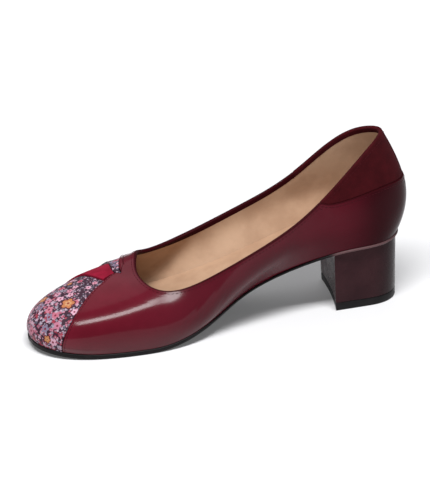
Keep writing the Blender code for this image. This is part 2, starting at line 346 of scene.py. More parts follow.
# %% A class for finishes
class Finish:
    """A material and the nodes that feed its one surface shader."""

    def __init__(self, name, **shader_values):
        self.material = bpy.data.materials.new(name)
        self.material.use_nodes = True
        self.tree = self.material.node_tree
        self.shader = self.tree.nodes["Principled BSDF"]
        self.set(**shader_values)

    def node(self, kind, settings=None, inputs=None, output=0):
        """Add a node of any kind; the result is one of its outputs."""
        made = self.tree.nodes.new(kind)
        for title, value in (settings or {}).items():
            if title == "stops":
                self.set_stops(made.color_ramp, value)
            else:
                setattr(made, title, value)
        for title, value in (inputs or {}).items():
            self.feed(made.inputs[title], value)
        return Socket(self, made.outputs[output])

    def feed(self, socket, value):
        """Link a socket, or set a plain value on it."""
        if isinstance(value, Socket):
            self.tree.links.new(value.output, socket)
        else:
            socket.default_value = value

    def set_stops(self, ramp, stops):
        while len(ramp.elements) < len(stops):
            ramp.elements.new(0.5)
        for element, (position, colour) in zip(ramp.elements, stops):
            element.position = position
            element.color = (*colour, 1.0)

    def set(self, **values):
        """Feed the sockets of the surface shader."""
        for title, value in values.items():
            self.feed(self.shader.inputs[title.replace("_", " ")], value)

    def place(self):
        """Object coordinates."""
        return self.node("ShaderNodeTexCoord", output="Object")

    def split(self, vector):
        """The three parts of a vector."""
        outputs = self.node("ShaderNodeSeparateXYZ", None, {0: vector}).output.node.outputs
        return [Socket(self, output) for output in outputs]

    def vector(self, operation, first, second):
        return self.node("ShaderNodeVectorMath", {"operation": operation}, {0: first, 1: second})

    def length(self, vector):
        return self.node("ShaderNodeVectorMath", {"operation": "LENGTH"}, {0: vector}, "Value")

    def noise(self, place, scale, detail=2.0, rough=0.5):
        values = {"Vector": place, "Scale": scale, "Detail": detail, "Roughness": rough}
        return self.node("ShaderNodeTexNoise", None, values, "Fac")

    def mark(self, name):
        """A value kept on the points of the piece."""
        return self.node("ShaderNodeAttribute", {"attribute_name": name}, None, "Fac")

    def mix(self, share, first, second):
        colours = [v if isinstance(v, Socket) else (*v, 1.0) for v in (first, second)]
        values = {0: share, 6: colours[0], 7: colours[1]}
        return self.node("ShaderNodeMix", {"data_type": "RGBA"}, values, 2)

    def ramp(self, value, stops):
        return self.node("ShaderNodeValToRGB", {"stops": stops}, {"Fac": value})

    def bump(self, height, strength, depth, after=None):
        values = {"Height": height, "Strength": strength, "Distance": depth}
        if after is not None:
            values["Normal"] = after
        return self.node("ShaderNodeBump", None, values)


print("a finish adds nodes, feeds their sockets and sets its shader")

# %% [markdown]
# ## Burgundy leather
#
# The body of the shoe is a fine, tightly lasted calf leather with a soft polish. Its colour is a
# deep burgundy with a purple cast. Painted shade darkens it towards the heel, and more behind the
# heel, and darkens its edges and the joint with the sole. It is less polished towards the heel and
# at those edges, and shinier just above the sole. The grain is a net of tiny cells, which a
# Voronoi texture gives directly, under a slow unevenness of the hide. Both stay shallow, because
# the long highlight on the real leather is smooth. The polish is a coat, so that its weight can
# vary over the shoe.

# %% Finish: burgundy leather
BURGUNDY_DEEP = (0.086, 0.0042, 0.0110)
BURGUNDY_LIGHT = (0.112, 0.0062, 0.0155)
# painted shade: the darker tones towards the heel, behind it and at the edges
BURGUNDY_WAIST_SHADE = (0.056, 0.0062, 0.0112)
BURGUNDY_BACK_SHADE = (0.016, 0.0010, 0.0024)
BURGUNDY_EDGE_SHADE = (0.030, 0.002, 0.004)


def leather_grain(finish, spot, cell=0.7 * MM, depth=0.05 * MM, strength=0.2):
    """Bump of fine grain cells over a slow unevenness."""
    settings = {"feature": "DISTANCE_TO_EDGE"}
    values = {"Vector": spot, "Scale": 1 / cell}
    cells = finish.node("ShaderNodeTexVoronoi", settings, values, "Distance")
    slow = finish.noise(spot, 120.0, 3.0)
    grain = finish.bump(cells.ease(0.0, 0.25), strength, depth)
    return finish.bump(slow, 0.25, 0.25 * MM, grain)


def burgundy_leather():
    """Leather darkened by painted shade towards the heel and at its edges, and duller there."""
    finish = Finish("burgundy_leather", Specular_IOR_Level=0.04, Coat_Roughness=0.13, Coat_IOR=1.4)
    spot = finish.place()
    along, _, height = finish.split(spot)
    cloud = finish.noise(spot, 38.0, 4.0, 0.55)
    colour = finish.mix(cloud.ease(0.32, 0.70), BURGUNDY_DEEP, BURGUNDY_LIGHT)
    # Painted shade: darker towards the heel, and darker still behind it.
    colour = finish.mix(along.ease(-80 * MM, -20 * MM, 0.0, 0.64), colour, BURGUNDY_WAIST_SHADE)
    colour = finish.mix(along.ease(64 * MM, 94 * MM, 0.0, 0.86), colour, BURGUNDY_BACK_SHADE)
    # Painted shade along the edges and the joint with the sole, which also dull there.
    inside = finish.mark("edge").ease(0.0, 1.1)
    colour = finish.mix(inside, BURGUNDY_EDGE_SHADE, colour)
    polish = finish.noise(spot, 70.0, 3.0).ease(0.3, 0.7, 0.17, 0.22)
    finish.set(Base_Color=colour, Roughness=polish + (1 - inside) * 0.35)
    shine = along.ease(5 * MM, 88 * MM, 0.33, 0.02)
    low_shine = height.ease(6 * MM, 18 * MM, 0.40, 0.0) * along.ease(-35 * MM, 25 * MM, 1.25, 0.70)
    finish.set(Coat_Weight=inside * (shine + low_shine), Normal=leather_grain(finish, spot))
    return finish.material


BURGUNDY = burgundy_leather()
print("made", BURGUNDY.name)

# %% [markdown]
# ## Printed leather
#
# The toe and one narrow band are leather printed with a small all-over flower print, of the
# common sort: dabs of pink, mauve and grey on a dark ground, scattered five-petalled flowers and
# a few larger warm ones. The print is laid flat before the leather is lasted, so it follows a UV
# map in the leather's own millimetres. Voronoi cells scatter the flowers, and the angle round
# each cell's middle draws the petals.

# %% Flowers for a print
class Bloom:
    """One flower at a place on the print."""

    def __init__(self, finish, spot, middle, twist):
        self.twist = twist
        self.measure(finish, finish.vector("SUBTRACT", spot, (*middle, 0.0)))

    def measure(self, finish, offset):
        """Distance from the middle of the flower and angle round it."""
        across, over, _ = finish.split(offset)
        self.reach = finish.length(offset)
        self.angle = across.maths("ARCTAN2", over, across)

    def petals(self, count, size, notch):
        """Mask of a flower with rounded petals."""
        wave = (self.angle * (count / 2) + self.twist * math.pi).cosine().size()
        rim = size * (1 - notch) + wave * (size * notch)
        return (rim - self.reach).ease(-0.12, 0.22)

    def dot(self, size):
        return (size - self.reach).ease(-0.1, 0.25)


class Flowers(Bloom):
    """Flowers scattered over the print, one to a cell."""

    def __init__(self, finish, spot, cell, seed, shake):
        shifted = finish.vector("ADD", spot, (seed, seed * 0.7, 0.0))
        values = {"Vector": shifted, "Scale": 1 / cell, "Randomness": shake}
        cells = finish.node("ShaderNodeTexVoronoi", {"voronoi_dimensions": "2D"}, values, "Color")
        middle = Socket(finish, cells.output.node.outputs["Position"])
        chances = finish.node("ShaderNodeSeparateColor", None, {0: cells}).output.node.outputs
        self.chance, self.hue, self.twist = (Socket(finish, output) for output in chances[:3])
        self.measure(finish, finish.vector("SUBTRACT", shifted, middle))


print("a flower has petals and a dot; flowers are scattered one to a cell")

# %% Colours and places of the print
CHART_UNIT = 100.0
DAB_TINTS = (
    (0.00, (0.020, 0.010, 0.022)),
    (0.18, (0.090, 0.092, 0.125)),
    (0.34, (0.290, 0.250, 0.310)),
    (0.48, (0.480, 0.300, 0.375)),
    (0.62, (0.330, 0.090, 0.140)),
    (0.78, (0.220, 0.012, 0.030)),
    (0.95, (0.480, 0.150, 0.180)),
)
BLOOM_TINTS = (
    (0.0, (0.330, 0.025, 0.060)),
    (0.3, (0.560, 0.330, 0.420)),
    (0.6, (0.430, 0.150, 0.220)),
    (0.8, (0.180, 0.150, 0.220)),
)
PRINT_GROUND = ((0.012, 0.005, 0.011), (0.060, 0.022, 0.040))
BLOOM_EYE = (0.16, 0.02, 0.04)
# seed, cell and petal size in mm
DABS = ((3.0, 3.0, 1.35), (41.0, 2.3, 0.90), (17.0, 1.6, 0.55))
# share of the flower's size, notch between its petals, colour: from the outline to the inner petals
WARM_LAYERS = (
    (1.20, 0.25, (0.075, 0.010, 0.016)),
    (1.00, 0.35, (0.400, 0.150, 0.062)),
    (0.55, 0.45, (0.450, 0.245, 0.120)),
)
WARM_EYE = (0.220, 0.040, 0.025)
# place on the print in mm, size in mm and twist of the larger warm flowers
WARM_BLOOMS = (
    ((-10.3, 1.9), 4.4, 0.2),
    ((-15.4, -21.5), 2.1, 0.6),
    ((9.5, -7.0), 2.8, 0.4),
    ((13.0, 12.5), 2.2, 0.8),
    ((31.0, 6.0), 3.2, 0.1),
    ((24.0, -17.0), 2.4, 0.5),
    ((46.0, 18.0), 2.8, 0.3),
)
print(len(DABS), "layers of dabs,", len(WARM_BLOOMS), "warm flowers")

# %% Finish: printed leather
def printed_leather():
    """Dabs, then small flowers, then large warm ones, each painted over the last."""
    finish = Finish("printed_leather", Specular_IOR_Level=0.14)
    chart = finish.node("ShaderNodeUVMap", {"uv_map": "print"})
    values = {0: chart, "Scale": CHART_UNIT}
    spot = finish.node("ShaderNodeVectorMath", {"operation": "SCALE"}, values)
    rise = finish.split(spot)[1]
    patch = finish.noise(spot, 0.11).ease(0.3, 0.7) * 0.6 + rise.ease(-40.0, 30.0, 0.4, 0.0)
    colour = finish.mix(finish.noise(spot, 0.8, 3.0), *PRINT_GROUND)
    for seed, cell, size in DABS:
        dabs = Flowers(finish, spot, cell, seed, 1.0)
        hue = dabs.hue * rise.ease(-20.0, 20.0, 0.66, 0.46) + patch * 0.38
        # Fewer dabs show towards the top of the toe, so its dark ground shows through there: a
        # painted shade.
        shown = dabs.chance > rise.ease(-28.0, 18.0, 0.20, 0.66)
        colour = finish.mix(dabs.petals(4, size, 0.40) * shown, colour, finish.ramp(hue, DAB_TINTS))
    blooms = Flowers(finish, spot, 7.2, 23.0, 0.9)
    shown = blooms.chance > 0.42
    tint = finish.ramp(blooms.hue, BLOOM_TINTS)
    colour = finish.mix(blooms.petals(5, 2.5, 0.40) * shown, colour, tint)
    colour = finish.mix(blooms.dot(0.75) * shown, colour, BLOOM_EYE)
    for middle, size, twist in WARM_BLOOMS:
        bloom = Bloom(finish, spot, middle, twist)
        for share, notch, tint in WARM_LAYERS:
            colour = finish.mix(bloom.petals(5, size * share, notch), colour, tint)
        colour = finish.mix(bloom.dot(size * 0.22), colour, WARM_EYE)
    place = finish.place()
    finish.set(Base_Color=colour, Roughness=finish.noise(place, 90.0).ease(0.3, 0.7, 0.38, 0.50))
    finish.set(Normal=leather_grain(finish, place, strength=0.3))
    return finish.material


PRINTED = printed_leather()
print("made", PRINTED.name, "with", len(PRINTED.node_tree.nodes), "nodes")

# %% [markdown]
# ## Suede, red and dark
#
# The strip beside the toe and the cuff behind the heel are suede: the napped inside of a hide.
# Its pile scatters light, so it is rough, with a little sheen at the edges, and it shows brushed
# patches where the nap lies one way or the other. Two noises, one slow for the patches and one
# fine for the pile, give both colour and bump.

# %% Finish: suede
def suede(name, deep, light, sheen, bloom):
    """Napped leather; bloom is the weight of its sheen."""
    finish = Finish(name, Specular_IOR_Level=0.06, Sheen_Roughness=0.45,
                    Sheen_Weight=bloom, Sheen_Tint=(*sheen, 1.0))
    spot = finish.place()
    patches = finish.noise(spot, 130.0, 4.0, 0.6)
    pile = finish.noise(spot, 1900.0, 2.0, 0.6)
    colour = finish.mix((patches * 0.6 + pile * 0.4).ease(0.28, 0.72), deep, light)
    finish.set(Base_Color=colour, Roughness=pile.ease(0.3, 0.7, 0.82, 0.95))
    finish.set(Normal=finish.bump(pile * 0.6 + patches * 0.4, 0.55, 0.18 * MM))
    return finish.material


RED_SUEDE = suede(
    "red_suede", (0.135, 0.004, 0.014), (0.260, 0.009, 0.031), (0.75, 0.20, 0.28), 0.12)
DARK_SUEDE = suede(
    "dark_suede", (0.026, 0.0018, 0.0031), (0.047, 0.0037, 0.0058), (0.50, 0.20, 0.24), 0.05)
print("made", RED_SUEDE.name, "and", DARK_SUEDE.name)

# %% [markdown]
# ## Lining, sock, sole, heel and thread
#
# Inside, the shoe is lined with plain unpolished leather in a warm beige. The sole and the
# wearing piece under the heel are black rubber with a fine moulded texture, and the sole shows a
# pale strip round the heel seat: the colour of the covered seat with a painted highlight on it.
# The heel block is covered in a dark brown leather, painted darker at the back as a painted shade,
# and the cut edges under the panels are nearly black.

# %% Finish: the plainer materials
# colour of the painted shade behind the heel
HEEL_REAR_SHADE = (0.006, 0.002, 0.003)
RUBBER_TINTS = ((0.0035, 0.0028, 0.0032), (0.010, 0.008, 0.009))
# pale strip at the heel seat: partly the seat's colour, partly a painted highlight
SEAT_STRIP_AND_HIGHLIGHT = (0.098, 0.050, 0.053)
THREAD_TINTS = ((0.034, 0.0020, 0.0044), (0.062, 0.0042, 0.0088))


def plain_leather(name, deep, light, rough, cell=0.9 * MM, specular=0.3, grain=0.25, rear=0.0):
    """Leather in two close tones; rear says how far painted shade darkens it behind the heel."""
    finish = Finish(name, Specular_IOR_Level=specular)
    spot = finish.place()
    along = finish.split(spot)[0]
    cloud = finish.noise(spot, 45.0, 4.0, 0.6)
    colour = finish.mix(cloud.ease(0.3, 0.7), deep, light)
    # Painted shade: darker behind the heel, as far as rear says.
    colour = finish.mix(along.ease(88 * MM, 108 * MM, 0.0, rear), colour, HEEL_REAR_SHADE)
    wear = finish.noise(spot, 150.0, 3.0)
    finish.set(Base_Color=colour, Roughness=wear.ease(0.3, 0.7, rough - 0.05, rough + 0.05))
    finish.set(Normal=leather_grain(finish, spot, cell, strength=grain))
    return finish.material


def sole_rubber():
    """Black rubber, with a pale heel-seat strip: partly the seat's colour, partly a painted
    highlight.
    """
    finish = Finish("sole_rubber", Specular_IOR_Level=0.18)
    spot = finish.place()
    along, _, height = finish.split(spot)
    dust = finish.noise(spot, 160.0, 5.0, 0.65)
    # A pale strip round the heel seat: partly the colour of the covered seat, partly a painted
    # highlight.
    seat = along.ease(61 * MM, 67 * MM) * height.ease(20 * MM, 28 * MM)
    colour = finish.mix(seat, finish.mix(dust.ease(0.4, 0.75), *RUBBER_TINTS), SEAT_STRIP_AND_HIGHLIGHT)
    finish.set(Base_Color=colour, Roughness=dust.ease(0.3, 0.7, 0.42, 0.6))
    finish.set(Normal=finish.bump(finish.noise(spot, 1500.0), 0.3, 0.06 * MM))
    return finish.material


def sewing_thread():
    finish = Finish("burgundy_thread", Specular_IOR_Level=0.08)
    spot = finish.place()
    twist = finish.noise(spot, 2600.0)
    finish.set(Base_Color=finish.mix(twist, *THREAD_TINTS))
    finish.set(Roughness=twist.ease(0.3, 0.7, 0.55, 0.75), Normal=finish.bump(twist, 0.5, 0.1 * MM))
    return finish.material


LINING = plain_leather("lining_leather", (0.40, 0.25, 0.16), (0.50, 0.33, 0.22), 0.62)
SOCK = plain_leather("sock_leather", (0.36, 0.22, 0.14), (0.45, 0.29, 0.19), 0.55)
HEEL = plain_leather(
    "heel_leather", (0.031, 0.0108, 0.0135), (0.044, 0.0162, 0.0193), 0.26,
    cell=1.0 * MM, specular=0.06, grain=0.12, rear=0.8)
CUT_EDGE = plain_leather("cut_edge", (0.014, 0.004, 0.006), (0.024, 0.008, 0.010), 0.7)
RUBBER = sole_rubber()
THREAD = sewing_thread()
print("made", ", ".join(m.name for m in (LINING, SOCK, HEEL, CUT_EDGE, RUBBER, THREAD)))

# %% [markdown]
# ## A slab of leather
#
# Almost every piece is a sheet with some thickness: an outer face, an under face and rims round
# the edge. Solidify could add the thickness, but here the edges are thinned, rolled and lifted by
# hand, so both faces are given as grids of points, and one helper joins them into a closed mesh.
# Marks on the points, such as the distance from the edge, stay with the mesh for the finish to
# read.

# %% Helper: a closed slab between two grids
MERGE = 0.002 * MM
SHARP = math.radians(50)
# mark in mm of points that are not near an edge
FAR_INSIDE = 50.0


def clean(mesh):
    """Merge doubles and point the faces outwards."""
    bm = bmesh.new()
    bm.from_mesh(mesh)
    bmesh.ops.remove_doubles(bm, verts=bm.verts, dist=MERGE)
    bmesh.ops.recalc_face_normals(bm, faces=bm.faces)
    bm.to_mesh(mesh)
    bm.free()


def slab(name, outer, under, finishes, edge=None, chart=None, joined_from=None, ring=False):
    """Closed piece between an outer and an under grid of points.

    The ends of a ring meet; where joined_from is given, they meet from that column up.
    """
    rows, columns = outer.shape[:2]
    count = rows * columns
    index = np.arange(count).reshape(rows, columns)
    grid = np.vstack([index, index[:1]]) if ring else index
    corners = [grid[:-1, :-1], grid[1:, :-1], grid[1:, 1:], grid[:-1, 1:]]
    quads = np.stack(corners, axis=-1).reshape(-1, 4)
    rims = [grid[:, 0], grid[:, -1]]
    if not ring:
        stop = columns if joined_from is None else joined_from + 1
        rims += [grid[0, :stop], grid[-1, :stop]]
    strips = [np.stack([r[:-1], r[1:], r[1:] + count, r[:-1] + count], axis=-1) for r in rims]
    faces = np.vstack([quads, quads[:, ::-1] + count, *strips])
    points = np.vstack([outer.reshape(-1, 3), under.reshape(-1, 3)])
    mesh = bpy.data.meshes.new(name)
    mesh.from_pydata(points.tolist(), [], faces.tolist())
    for finish in finishes:
        mesh.materials.append(finish)
    kind = np.zeros(len(faces), dtype=np.int32)
    kind[len(quads):] = len(finishes) - 1
    mesh.polygons.foreach_set("material_index", kind)
    marks = np.full(2 * count, FAR_INSIDE)
    if edge is not None:
        marks[:count] = edge.ravel()
    mesh.attributes.new("edge", "FLOAT", "POINT").data.foreach_set("value", marks)
    if chart is not None:
        at_corner = np.empty(len(mesh.loops), dtype=np.int32)
        mesh.loops.foreach_get("vertex_index", at_corner)
        flat = np.vstack([chart.reshape(-1, 2)] * 2)[at_corner]
        mesh.uv_layers.new(name="print").data.foreach_set("uv", flat.ravel())
    clean(mesh)
    mesh.polygons.foreach_set("use_smooth", np.ones(len(mesh.polygons), dtype=bool))
    mesh.set_sharp_from_angle(angle=SHARP)
    print(name, len(mesh.polygons), "faces")
    return linked(name, mesh)


print("a slab has an outer face, an under face and rims")

# %% Helpers: smooth steps, spacing and lengths
def ease(value, start, end):
    """Smooth step from 0 at start to 1 at end."""
    u = np.clip((value - start) / (end - start), 0, 1)
    return u * u * (3 - 2 * u)


def spaced(count, length, first):
    """Shares of a length whose steps start at first and widen, the same from both ends."""
    growth, widest = 1.35, 1.15 * length / count
    steps = np.minimum(first * growth ** np.arange(count), widest)
    steps = np.minimum(steps, steps[::-1])
    return np.concatenate([[0.0], np.cumsum(steps) / steps.sum()])


def run_along(points, axis):
    """Length walked along one way of a grid of points."""
    step = np.linalg.norm(np.diff(points, axis=axis), axis=2)
    start = np.zeros_like(step[:1] if axis == 0 else step[:, :1])
    return np.concatenate([start, np.cumsum(step, axis=axis)], axis=axis)


print("spacing of a short run:", np.round(spaced(6, 1.0, 0.05), 3))

# %% [markdown]
# ## Lines of the pattern
#
# The pattern pieces fan out from a hub at the throat: the printed toe, the red suede strip, the
# printed band and a smooth panel on the outer side, with the burgundy quarter wrapped round
# behind them. Each line between two pieces is a power curve in turns and shares, because such a
# curve can leave the hub steeply and sweep round to the sole.

# %% Lines between the pieces
# share up the upper at the hub, turn at the hub, turn at the sole edge, how late the line swings
LINES = {
    "inner_edge": (0.820, 0.0030, 0.0415, 2.1),
    "cap_to_suede": (0.820, 0.0013, -0.0660, 3.2),
    "suede_to_band": (0.890, -0.0080, -0.0900, 6.5),
    "band_to_vamp": (0.925, -0.0040, -0.1150, 11.0),
    "vamp_seam": (0.935, -0.0250, -0.1500, 8.0),
}
HUBS = [(share, turn) for name, (share, turn, *_) in LINES.items() if name != "cap_to_suede"]
THROAT = LINES["vamp_seam"][0]


def line_turn(name, up):
    """Turn on a line; up runs from the sole edge (0) to the hub (1)."""
    _, hub_turn, edge_turn, bend = LINES[name]
    return edge_turn + (hub_turn - edge_turn) * np.clip(up, 0, 1) ** bend


def quarter_ends(share):
    """Turns where the burgundy quarter begins, on the inner side, and ends, on the outer side."""
    inner_hub = LINES["inner_edge"][0]
    on_line = line_turn("inner_edge", share / inner_hub)
    begin = np.where(share < inner_hub, on_line, np.interp(share, *zip(*HUBS)))
    end = 1 + line_turn("vamp_seam", share / THROAT)
    return begin, end


print("the quarter covers turns {:.3f} to {:.3f}".format(*quarter_ends(0.3)))

# %% [markdown]
# ## The burgundy quarter
#
# The quarter is one sheet from the inner toe round the heel to the outer vamp. It lies over the
# toe pieces, so it rises to a folded edge along them, and its top edge is turned in over the
# lining. Behind the heel it dips under the suede cuff's line, with the same folded edge. A grid
# that starts and ends on those lines keeps the folds crisp, which a plain grid with a step in it
# would not.

# %% Shape the quarter
BACK_TURN = TURN_OF["back"]
CUFF_REACH = 0.138
CUFF_LOW = 0.635
CUFF_BEND = 3.2
WALL = 1.8 * MM
SKIN = 0.3 * MM
UNDER = -0.15 * MM
PANEL_EDGE = 1.2 * MM
CUFF_EDGE = 0.7 * MM
FOLD = 0.8 * MM
TURN_IN = WALL + 0.08 * MM


def from_back(turn):
    """Distance round from the middle of the back, 1 at the ends of the cuff."""
    return np.abs((np.mod(turn, 1.0) - BACK_TURN) / CUFF_REACH)


def cuff_line(turn):
    """Share up the upper of the quarter's top edge, which dips behind the heel."""
    return CUFF_LOW + (1 - CUFF_LOW) * np.minimum(from_back(turn), 1.0) ** CUFF_BEND


def under_cuff(turn):
    """1 below the cuff, 0 where the quarter reaches the topline."""
    return 1 - ease(from_back(turn), 0.90, 1.0)


def rounded(distance, radius):
    """Height of a quarter-round edge, from 0 at the edge to 1 inside it."""
    u = 1 - np.clip(distance / radius, 0, 1)
    return np.sqrt(1 - u * u)


TURN_LENGTH = 560.0
SHARE_LENGTH = 55.0
rows = spaced(400, TURN_LENGTH, 0.25)[:, None]
# from the sole to below the hubs, past the hubs, and on to the topline
share_runs = [np.linspace(*run) for run in ((0, 0.78, 52), (0.78, 0.95, 45), (0.95, 1, 9))]
shares = np.unique(np.concatenate(share_runs))
begin, end = quarter_ends(shares)
quarter_turn = begin + (end - begin) * rows
quarter_share = shares * cuff_line(quarter_turn)
base = on_upper(quarter_turn, quarter_share)
from_begin = run_along(base, 0)
from_end = from_begin[-1:] - from_begin
even_turns = np.linspace(0, 1, 361)
climb = run_along(on_upper(even_turns[:, None], shares * cuff_line(even_turns)[:, None]), 1)


def at_turns(values):
    """Values kept at even turns, read off at the turns of the quarter's grid."""
    columns = zip(np.mod(quarter_turn, 1.0).T, values.T)
    return np.column_stack([np.interp(turns, even_turns, column) for turns, column in columns])


up_run = at_turns(climb)
from_top = at_turns(climb[:, -1:] - climb)
print("quarter grid", base.shape[:2], "sole edge", round(float(from_begin[-1, 0] / MM)), "mm long")

# %% [markdown]
# ### Creases and the lift of the edges
#
# Walking leaves a few soft troughs across the ball of the foot. Each is listed: a turn, a share
# of the way up, a length, a width and a depth, in the shoe's own sizes. They stay shallow,
# because this shoe is hardly worn.

# %% Lift the quarter's edges and press in the creases
# turn, share, half length in mm, half width in mm, depth in mm, slant
CREASES = (
    (0.150, 0.42, 13.0, 2.6, 0.18, 0.15),
    (0.172, 0.50, 15.0, 3.0, 0.22, 0.10),
    (0.196, 0.45, 12.0, 2.6, 0.16, 0.05),
    (0.812, 0.45, 13.0, 2.6, 0.18, -0.10),
    (0.836, 0.50, 15.0, 3.0, 0.22, -0.12),
    (0.300, 0.40, 22.0, 9.0, 0.22, 0.0),
    (0.690, 0.40, 22.0, 9.0, 0.22, 0.0),
)


def creased(turn, share):
    """Depth of the creases, in metres."""
    depth = np.zeros(np.broadcast(turn, share).shape)
    for at, high, half, width, deep, slant in CREASES:
        climb = (share - high) * SHARE_LENGTH
        across = (turn - at) * TURN_LENGTH - climb * slant * 2
        depth += deep * MM * np.exp(-((climb / half) ** 2) - (across / width) ** 2)
    return depth


fold_open = 1 - ease(quarter_share, THROAT - 0.006, THROAT + 0.012)
side_edge = np.minimum(from_begin, from_end)
lasting = ease(quarter_share, 0.0, 0.09)
inner_line = line_turn("inner_edge", shares / LINES["inner_edge"][0])
columns = zip(inner_line, quarter_turn.T, from_begin.T)
inner_at = np.array([np.interp(line, turns, run) for line, turns, run in columns])
from_panels = np.minimum(np.maximum(from_begin - inner_at, 0), from_end)
panel_lift = PANEL_EDGE * (1 - ease(from_panels, 4 * MM, 42 * MM)) * lasting
panel_lift *= 0.2 + 0.8 * ease(from_top, 0, 18 * MM)
cuff_lift = CUFF_EDGE * (1 - ease(from_top, 1 * MM, 26 * MM)) * under_cuff(quarter_turn)
lift = SKIN + np.maximum(panel_lift, cuff_lift) - creased(quarter_turn, quarter_share)
fold = 1 - (1 - rounded(side_edge, FOLD)) * fold_open * 0.85
quarter_lift = lift * fold
side_mark = side_edge + FAR_INSIDE * MM * (1 - fold_open)
# Distance in mm from the topline, the sole joint and the folded sides; the leather is painted
# darker near them, a painted shade.
edge_mark = np.minimum(np.minimum(from_top, up_run + 0.3 * MM), side_mark) / MM
print("edge lift up to", round(float(quarter_lift.max() / MM), 2), "mm")

# %% Roll the top edge over and make the quarter
HEM = 3.0 * MM


def rolled(turn, share, lift, end_lift):
    """Outer and under face of a sheet whose top edge rolls inwards and ends in a hem."""
    top = turn[:, -1:], share[:, -1:]
    middle = (lift[:, -1:] + end_lift) / 2
    radius = (lift[:, -1:] - end_lift) / 2
    inside = np.maximum(radius - 0.35 * MM, 0.05 * MM)
    outer = [on_upper(turn, share, lift)]
    under = [on_upper(turn, share, UNDER)]
    for angle in np.linspace(0, np.pi, 10)[1:]:
        out, up = math.cos(angle), math.sin(angle)
        outer.append(on_upper(*top, middle + radius * out, 0.6 * radius * up))
        under.append(on_upper(*top, middle + inside * out, 0.5 * inside * up - 0.1 * MM))
    for depth in (0.4 * HEM, HEM):
        outer.append(on_upper(*top, end_lift, -depth))
        under.append(on_upper(*top, end_lift + 0.3 * MM, -depth))
    return np.concatenate(outer, axis=1), np.concatenate(under, axis=1)


cuffed = under_cuff(quarter_turn[:, -1:])
roll_end = -TURN_IN + (TURN_IN + 0.1 * MM) * cuffed
outer, under = rolled(quarter_turn, quarter_share, quarter_lift, roll_end)
edge_mark = np.pad(edge_mark, ((0, 0), (0, outer.shape[1] - len(shares))))
joined_from = int(np.argmax(shares > THROAT))
quarter = slab("quarter_leather", outer, under, [BURGUNDY], edge_mark, joined_from=joined_from)

# %% [markdown]
# ## The lining
#
# Behind all the outer pieces lies one shell: the lining inside, and the stiffened back of the
# leather outside, which only shows as a dark line in the gaps between pieces. It is the upper's
# own surface moved in by the wall, closed at the top below the rolled edge.

# %% Make the lining shell
SHELL_TOP = 0.985
ring = even_turns[:-1, None]
heights = np.linspace(0, SHELL_TOP, 40)[None, :]
shell_outer = on_upper(ring, heights, -0.25 * MM)
shell_inner = on_upper(ring, heights, -WALL)
lining = slab("lining_shell", shell_outer, shell_inner, [CUT_EDGE, LINING], ring=True)

# %% [markdown]
# ## The fan of panels
#
# The printed toe, the red suede strip, the printed band and the smooth outer panel lie side by
# side under the quarter's folded edge. Each is a grid between two of the pattern lines, thinned
# towards its edges and drawn down to the sole. Behind the toe, the second edge of each panel is
# raised, so that it laps over the one before it. The suede is a little plumper than its
# neighbours. The print's UV map unrolls the toe round a point inside it, so that the flowers keep
# their size from the tip to the hub.

# %% Shape the panels
PRINT_CENTRE = np.array((MIDDLE - 0.186, -0.0035, 0.004))
PRINT_AXIS = unit(np.array((-0.72, -0.10, 0.68)))
PRINT_RADIUS = 40.0
SEAM = 0.24 * MM


def print_chart(points):
    """The toe unrolled flat, in hundreds of millimetres."""
    away = unit(points - PRINT_CENTRE)
    side = unit(np.cross(PRINT_AXIS, (0.0, 0.0, 1.0)))
    over = np.cross(side, PRINT_AXIS)
    angle = np.arccos(np.clip(away @ PRINT_AXIS, -1, 1))
    flat = unit(np.stack([away @ side, away @ over], axis=-1))
    return flat * angle[..., None] * PRINT_RADIUS / CHART_UNIT


def panel(name, first, second, thick, crown, lap, cells, finish):
    """Panel between two lines, from the sole edge to the hub; its second edge laps upwards."""
    across = spaced(cells[0], 1.0, 0.004)[:, None]
    climb = np.linspace(0, 1, cells[1] + 1)[None, :]
    up = climb * (2 - climb)
    ends = [(line_turn(line, up), LINES[line][0] * up) for line in (first, second)]

    def between(part):
        return [low + (high - low) * part for low, high in zip(*ends)]

    width = run_along(on_upper(*between(across)), 0)
    rim = np.minimum(width, width[-1:] - width)
    inset = np.clip(SEAM / 2 / np.maximum(width[-1:], 1e-9), 0, 0.3)
    turn, share = between(inset + (1 - 2 * inset) * across)
    half = np.maximum(width[-1:] / 2, 1e-6)
    pillow = crown * (1 - (1 - np.clip(rim / half, 0, 1)) ** 2) + lap * across**2
    pillow = pillow * ease(half, 0.5 * MM, 4 * MM)
    height = SKIN + (thick - SKIN + pillow) * ease(share, 0.0, 0.07)
    height = height * (0.3 + 0.7 * rounded(rim, 0.5 * MM))
    outer = on_upper(turn, share, height)
    under = on_upper(turn, share, UNDER)
    return slab(name, outer, under, [finish], rim / MM, print_chart(outer))


# name, first line, second line, thickness, crown and lap in mm, cells across and up, finish
PANELS = (
    ("toe_cap_leather", "cap_to_suede", "inner_edge", (0.80, 0.0, 0.0), (80, 90), PRINTED),
    ("suede_strip", "suede_to_band", "cap_to_suede", (0.90, 0.35, 1.0), (36, 120), RED_SUEDE),
    ("printed_band", "band_to_vamp", "suede_to_band", (0.80, 0.0, 1.3), (36, 120), PRINTED),
    ("outer_vamp_leather", "vamp_seam", "band_to_vamp", (0.95, 0.0, 1.2), (40, 120), BURGUNDY),
)
toe, strip, band, vamp = (
    panel(name, first, second, *(size * MM for size in sizes), cells, finish)
    for name, first, second, sizes, cells, finish in PANELS)

# %% [markdown]
# ## The suede cuff
#
# A dark suede cuff grips the back of the heel. Its lower edge sits against the quarter's fold,
# and its top edge is rolled over the lining like the rest of the topline, so it is made with the
# same rolling helper.

